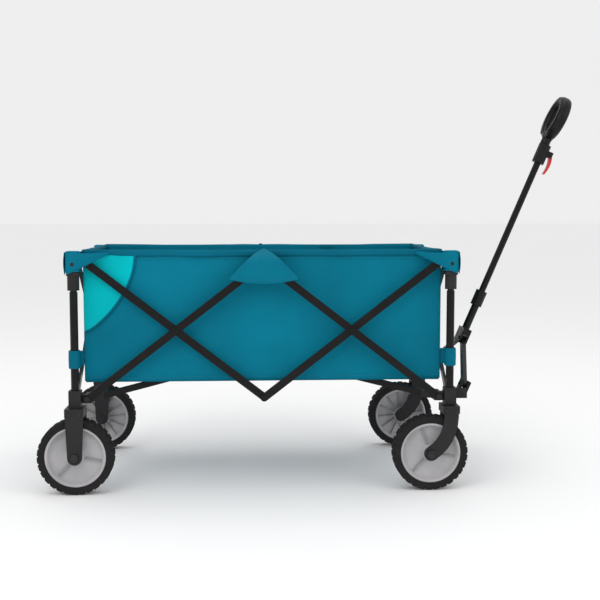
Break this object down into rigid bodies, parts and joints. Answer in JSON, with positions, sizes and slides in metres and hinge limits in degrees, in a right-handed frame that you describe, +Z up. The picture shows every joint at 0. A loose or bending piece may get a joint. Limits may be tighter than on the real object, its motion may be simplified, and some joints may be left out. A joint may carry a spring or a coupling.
{
  "type": "folding wagon",
  "caption": "Folding wagon with a fabric basket in a scissor frame, swivelling front wheels and a telescopic pull handle.",
  "frame": {"origin": "on the ground under the middle of the object's box", "axes": "+X towards the pull handle, +Y to the wagon's left, +Z up"},
  "size_m": [1.3238, 0.532, 0.9563],
  "materials": {
    "frame_steel": "satin black powder coat",
    "fitting_plastic": "fine-grained moulded plastic",
    "rim_plastic": "satin moulded plastic",
    "tyre": "soft blow-moulded tread",
    "fabric": "coated plain-weave polyester",
    "webbing": "woven webbing",
    "grip": "moulded plastic",
    "lever": "moulded plastic"
  },
  "bodies": {
    "corner_rear_right": {"lower_fitting_rear_right": "fitting_plastic", "post_rear_right": "frame_steel", "fixed_fork_rear_right": "fitting_plastic"},
    "corner_rear_left": {"lower_fitting_rear_left": "fitting_plastic", "post_rear_left": "frame_steel", "fixed_fork_rear_left": "fitting_plastic"},
    "corner_front_right": {"lower_fitting_front_right": "fitting_plastic", "post_front_right": "frame_steel"},
    "corner_front_left": {"lower_fitting_front_left": "fitting_plastic", "post_front_left": "frame_steel"},
    "link_rear_rising_right": {"link_rear_rising_right": "frame_steel"},
    "link_rear_falling_right": {"link_rear_falling_right": "frame_steel"},
    "link_front_falling_right": {"link_front_falling_right": "frame_steel"},
    "link_front_rising_right": {"link_front_rising_right": "frame_steel"},
    "top_hinge_right": {"top_hinge_right": "fitting_plastic"},
    "top_rear_right": {"top_fitting_rear_right": "fitting_plastic", "side_panel_right": "fabric", "end_panel_rear": "fabric", "floor_mat": "fabric"},
    "top_front_right": {"top_fitting_front_right": "fitting_plastic", "end_panel_front": "fabric"},
    "link_rear_rising_left": {"link_rear_rising_left": "frame_steel"},
    "link_rear_falling_left": {"link_rear_falling_left": "frame_steel"},
    "link_front_falling_left": {"link_front_falling_left": "frame_steel"},
    "link_front_rising_left": {"link_front_rising_left": "frame_steel"},
    "top_hinge_left": {"top_hinge_left": "fitting_plastic"},
    "top_rear_left": {"top_fitting_rear_left": "fitting_plastic", "side_panel_left": "fabric"},
    "top_front_left": {"top_fitting_front_left": "fitting_plastic"},
    "end_link_rising_rear": {"end_link_rising_rear": "frame_steel"},
    "end_link_falling_rear": {"end_link_falling_rear": "frame_steel"},
    "end_link_rising_front": {"end_link_rising_front": "frame_steel"},
    "end_link_falling_front": {"end_link_falling_front": "frame_steel"},
    "spider_arm_rear_right": {"spider_arm_rear_right": "frame_steel"},
    "spider_arm_rear_left": {"spider_arm_rear_left": "frame_steel"},
    "spider_arm_front_right": {"spider_arm_front_right": "frame_steel"},
    "spider_arm_front_left": {"spider_arm_front_left": "frame_steel"},
    "fold_strap": {"fold_strap": "webbing"},
    "spider_hub": {"spider_hub": "fitting_plastic"},
    "yoke_box_right": {"yoke_box_right": "fitting_plastic"},
    "yoke_arm_right": {"yoke_arm_right": "fitting_plastic"},
    "yoke_box_left": {"yoke_box_left": "fitting_plastic"},
    "yoke_arm_left": {"yoke_arm_left": "fitting_plastic"},
    "handle": {"handle_base": "frame_steel", "handle_collar": "fitting_plastic", "handle_mid_tube": "frame_steel", "handle_clamp": "fitting_plastic"},
    "handle_top": {"handle_top_tube": "frame_steel", "grip_ring": "grip"},
    "clamp_lever": {"clamp_lever": "lever"},
    "wheel_rear_right": {"rim_rear_right": "rim_plastic", "tyre_rear_right": "tyre"},
    "wheel_rear_left": {"rim_rear_left": "rim_plastic", "tyre_rear_left": "tyre"},
    "caster_front_right": {"caster_fork_front_right": "fitting_plastic"},
    "wheel_front_right": {"rim_front_right": "rim_plastic", "tyre_front_right": "tyre"},
    "caster_front_left": {"caster_fork_front_left": "fitting_plastic"},
    "wheel_front_left": {"rim_front_left": "rim_plastic", "tyre_front_left": "tyre"}
  },
  "joints": [
    {"name": "fold", "type": "hinge", "parent": "corner_rear_right", "child": "link_rear_rising_right", "pos_m": [-0.54585, -0.234, 0.222], "axis": [0, -1, 0], "range_deg": [0, 40.7], "deforming": ["side_panel_right", "side_panel_left", "end_panel_rear", "end_panel_front", "floor_mat"]},
    {"name": "top_pivot_right", "type": "hinge", "parent": "link_rear_rising_right", "child": "link_front_falling_right", "pos_m": [-0.13185, -0.234, 0.542], "axis": [0, -1, 0], "range_deg": [-81.45, 0]},
    {"name": "front_lower_pivot_right", "type": "hinge", "parent": "link_front_falling_right", "child": "corner_front_right", "pos_m": [0.28215, -0.234, 0.222], "axis": [0, -1, 0], "range_deg": [0, 40.75]},
    {"name": "rear_cross_pivot_right", "type": "hinge", "parent": "link_rear_rising_right", "child": "link_rear_falling_right", "pos_m": [-0.33885, -0.234, 0.382], "axis": [0, -1, 0], "range_deg": [-81.45, 0]},
    {"name": "front_cross_pivot_right", "type": "hinge", "parent": "link_front_falling_right", "child": "link_front_rising_right", "pos_m": [0.07515, -0.234, 0.382], "axis": [0, -1, 0], "range_deg": [0, 81.45]},
    {"name": "front_upper_pivot_right", "type": "hinge", "parent": "link_front_rising_right", "child": "top_front_right", "pos_m": [0.28215, -0.234, 0.542], "axis": [0, -1, 0], "range_deg": [-40.75, 0]},
    {"name": "top_hinge_pivot_right", "type": "hinge", "parent": "link_rear_rising_right", "child": "top_hinge_right", "pos_m": [-0.13185, -0.234, 0.542], "axis": [0, -1, 0], "range_deg": [-40.75, 0]},
    {"name": "rear_rising_pivot_left", "type": "hinge", "parent": "corner_rear_left", "child": "link_rear_rising_left", "pos_m": [-0.54585, 0.234, 0.222], "axis": [0, -1, 0], "range_deg": [0, 40.75]},
    {"name": "top_pivot_left", "type": "hinge", "parent": "link_rear_rising_left", "child": "link_front_falling_left", "pos_m": [-0.13185, 0.234, 0.542], "axis": [0, -1, 0], "range_deg": [-81.45, 0]},
    {"name": "front_lower_pivot_left", "type": "hinge", "parent": "link_front_falling_left", "child": "corner_front_left", "pos_m": [0.28215, 0.234, 0.222], "axis": [0, -1, 0], "range_deg": [0, 40.75]},
    {"name": "rear_cross_pivot_left", "type": "hinge", "parent": "link_rear_rising_left", "child": "link_rear_falling_left", "pos_m": [-0.33885, 0.234, 0.382], "axis": [0, -1, 0], "range_deg": [-81.45, 0]},
    {"name": "front_cross_pivot_left", "type": "hinge", "parent": "link_front_falling_left", "child": "link_front_rising_left", "pos_m": [0.07515, 0.234, 0.382], "axis": [0, -1, 0], "range_deg": [0, 81.45]},
    {"name": "front_upper_pivot_left", "type": "hinge", "parent": "link_front_rising_left", "child": "top_front_left", "pos_m": [0.28215, 0.234, 0.542], "axis": [0, -1, 0], "range_deg": [-40.75, 0]},
    {"name": "top_hinge_pivot_left", "type": "hinge", "parent": "link_rear_rising_left", "child": "top_hinge_left", "pos_m": [-0.13185, 0.234, 0.542], "axis": [0, -1, 0], "range_deg": [-40.75, 0]},
    {"name": "rear_upper_pivot_right", "type": "hinge", "parent": "link_rear_falling_right", "child": "top_rear_right", "pos_m": [-0.54585, -0.234, 0.542], "axis": [0, -1, 0], "range_deg": [0, 40.75]},
    {"name": "end_rising_pivot_rear", "type": "hinge", "parent": "corner_rear_right", "child": "end_link_rising_rear", "pos_m": [-0.57285, -0.207, 0.222], "axis": [1, 0, 0], "range_deg": [0, 40.75]},
    {"name": "end_upper_pivot_rear_left", "type": "hinge", "parent": "end_link_rising_rear", "child": "top_rear_left", "pos_m": [-0.57285, 0.207, 0.542], "axis": [1, 0, 0], "range_deg": [-40.75, 0]},
    {"name": "end_cross_pivot_rear", "type": "hinge", "parent": "end_link_rising_rear", "child": "end_link_falling_rear", "pos_m": [-0.57285, 0, 0.382], "axis": [1, 0, 0], "range_deg": [-81.45, 0]},
    {"name": "end_lower_pivot_rear_left", "type": "hinge", "parent": "end_link_falling_rear", "child": "corner_rear_left", "pos_m": [-0.57285, 0.207, 0.222], "axis": [1, 0, 0], "range_deg": [0, 40.75]},
    {"name": "end_rising_pivot_front", "type": "hinge", "parent": "corner_front_right", "child": "end_link_rising_front", "pos_m": [0.30915, -0.207, 0.222], "axis": [1, 0, 0], "range_deg": [0, 40.75]},
    {"name": "end_cross_pivot_front", "type": "hinge", "parent": "end_link_rising_front", "child": "end_link_falling_front", "pos_m": [0.30915, 0, 0.382], "axis": [1, 0, 0], "range_deg": [-81.45, 0]},
    {"name": "spider_pivot_rear_right", "type": "hinge", "parent": "corner_rear_right", "child": "spider_arm_rear_right", "pos_m": [-0.5226, -0.19537, 0.222], "axis": [0.4472, -0.8944, 0], "range_deg": [0, 75.43]},
    {"name": "spider_pivot_rear_left", "type": "hinge", "parent": "corner_rear_left", "child": "spider_arm_rear_left", "pos_m": [-0.5226, 0.19537, 0.222], "axis": [-0.4472, -0.8944, 0], "range_deg": [0, 75.43]},
    {"name": "spider_pivot_front_right", "type": "hinge", "parent": "corner_front_right", "child": "spider_arm_front_right", "pos_m": [0.25889, -0.19537, 0.222], "axis": [0.4472, 0.8944, 0], "range_deg": [0, 75.43]},
    {"name": "spider_pivot_front_left", "type": "hinge", "parent": "corner_front_left", "child": "spider_arm_front_left", "pos_m": [0.25889, 0.19537, 0.222], "axis": [-0.4472, 0.8944, 0], "range_deg": [0, 75.43]},
    {"name": "strap_swing", "type": "hinge", "parent": "top_hinge_right", "child": "fold_strap", "pos_m": [-0.13185, -0.207, 0.125], "axis": [1, 0, 0], "range_deg": [0, 40.75]},
    {"name": "hub_level", "type": "hinge", "parent": "fold_strap", "child": "spider_hub", "pos_m": [-0.13185, 0, 0.285], "axis": [1, 0, 0], "range_deg": [-40.75, 0]},
    {"name": "handle_pitch", "type": "hinge", "parent": "corner_front_right", "child": "yoke_box_right", "pos_m": [0.34215, -0.209, 0.228], "axis": [0, 1, 0], "range_deg": [-20, 75]},
    {"name": "yoke_pivot_right", "type": "hinge", "parent": "yoke_box_right", "child": "yoke_arm_right", "pos_m": [0.34918, -0.209, 0.24457], "axis": [0.9205, 0, -0.3907], "range_deg": [0, 53.68]},
    {"name": "handle_pitch_left", "type": "hinge", "parent": "corner_front_left", "child": "yoke_box_left", "pos_m": [0.34215, 0.209, 0.228], "axis": [0, 1, 0], "range_deg": [-20.05, 75.05]},
    {"name": "yoke_pivot_left", "type": "hinge", "parent": "yoke_box_left", "child": "yoke_arm_left", "pos_m": [0.34918, 0.209, 0.24457], "axis": [-0.9205, 0, 0.3907], "range_deg": [0, 53.68]},
    {"name": "handle_level", "type": "hinge", "parent": "yoke_arm_right", "child": "handle", "pos_m": [0.38639, -0.018, 0.33223], "axis": [0.9205, 0, -0.3907], "range_deg": [-53.68, 0]},
    {"name": "handle_extend", "type": "slide", "parent": "handle", "child": "handle_top", "axis": [0.3907, 0, 0.9205], "range_m": [0, 0.26]},
    {"name": "lever_open", "type": "hinge", "parent": "handle", "child": "clamp_lever", "pos_m": [0.6106, 0, 0.80414], "axis": [0, -1, 0], "range_deg": [0, 25]},
    {"name": "roll_rear_right", "type": "hinge", "parent": "corner_rear_right", "child": "wheel_rear_right", "pos_m": [-0.57285, -0.234, 0.089], "axis": [0, 1, 0], "continuous": true},
    {"name": "roll_rear_left", "type": "hinge", "parent": "corner_rear_left", "child": "wheel_rear_left", "pos_m": [-0.57285, 0.234, 0.089], "axis": [0, 1, 0], "continuous": true},
    {"name": "swivel_front_right", "type": "hinge", "parent": "corner_front_right", "child": "caster_front_right", "pos_m": [0.30915, -0.234, 0.1], "axis": [0, 0, 1], "continuous": true},
    {"name": "roll_front_right", "type": "hinge", "parent": "caster_front_right", "child": "wheel_front_right", "pos_m": [0.26215, -0.234, 0.089], "axis": [0, 1, 0], "continuous": true},
    {"name": "swivel_front_left", "type": "hinge", "parent": "corner_front_left", "child": "caster_front_left", "pos_m": [0.30915, 0.234, 0.1], "axis": [0, 0, 1], "continuous": true},
    {"name": "roll_front_left", "type": "hinge", "parent": "caster_front_left", "child": "wheel_front_left", "pos_m": [0.26215, 0.234, 0.089], "axis": [0, 1, 0], "continuous": true}
  ],
  "couplings": [
    {"joint": "top_pivot_right", "follows": "fold", "ratio": -2},
    {"joint": "front_lower_pivot_right", "follows": "fold", "ratio": 1},
    {"joint": "rear_cross_pivot_right", "follows": "fold", "ratio": -2},
    {"joint": "front_cross_pivot_right", "follows": "fold", "ratio": 2},
    {"joint": "front_upper_pivot_right", "follows": "fold", "ratio": -1},
    {"joint": "top_hinge_pivot_right", "follows": "fold", "ratio": -1},
    {"joint": "rear_rising_pivot_left", "follows": "fold", "ratio": 1},
    {"joint": "top_pivot_left", "follows": "fold", "ratio": -2},
    {"joint": "front_lower_pivot_left", "follows": "fold", "ratio": 1},
    {"joint": "rear_cross_pivot_left", "follows": "fold", "ratio": -2},
    {"joint": "front_cross_pivot_left", "follows": "fold", "ratio": 2},
    {"joint": "front_upper_pivot_left", "follows": "fold", "ratio": -1},
    {"joint": "top_hinge_pivot_left", "follows": "fold", "ratio": -1},
    {"joint": "rear_upper_pivot_right", "follows": "fold", "ratio": 1},
    {"joint": "end_rising_pivot_rear", "follows": "fold", "ratio": 1},
    {"joint": "end_upper_pivot_rear_left", "follows": "fold", "ratio": -1},
    {"joint": "end_cross_pivot_rear", "follows": "fold", "ratio": -2},
    {"joint": "end_lower_pivot_rear_left", "follows": "fold", "ratio": 1},
    {"joint": "end_rising_pivot_front", "follows": "fold", "ratio": 1},
    {"joint": "end_cross_pivot_front", "follows": "fold", "ratio": -2},
    {"joint": "spider_pivot_rear_right", "follows": "fold", "ratio": 1.852},
    {"joint": "spider_pivot_rear_left", "follows": "fold", "ratio": 1.852},
    {"joint": "spider_pivot_front_right", "follows": "fold", "ratio": 1.852},
    {"joint": "spider_pivot_front_left", "follows": "fold", "ratio": 1.852},
    {"joint": "strap_swing", "follows": "fold", "ratio": 1},
    {"joint": "hub_level", "follows": "fold", "ratio": -1},
    {"joint": "yoke_pivot_right", "follows": "fold", "ratio": 1.3176},
    {"joint": "handle_pitch_left", "follows": "handle_pitch", "ratio": 1},
    {"joint": "yoke_pivot_left", "follows": "fold", "ratio": 1.3176},
    {"joint": "handle_level", "follows": "fold", "ratio": -1.3176}
  ]
}
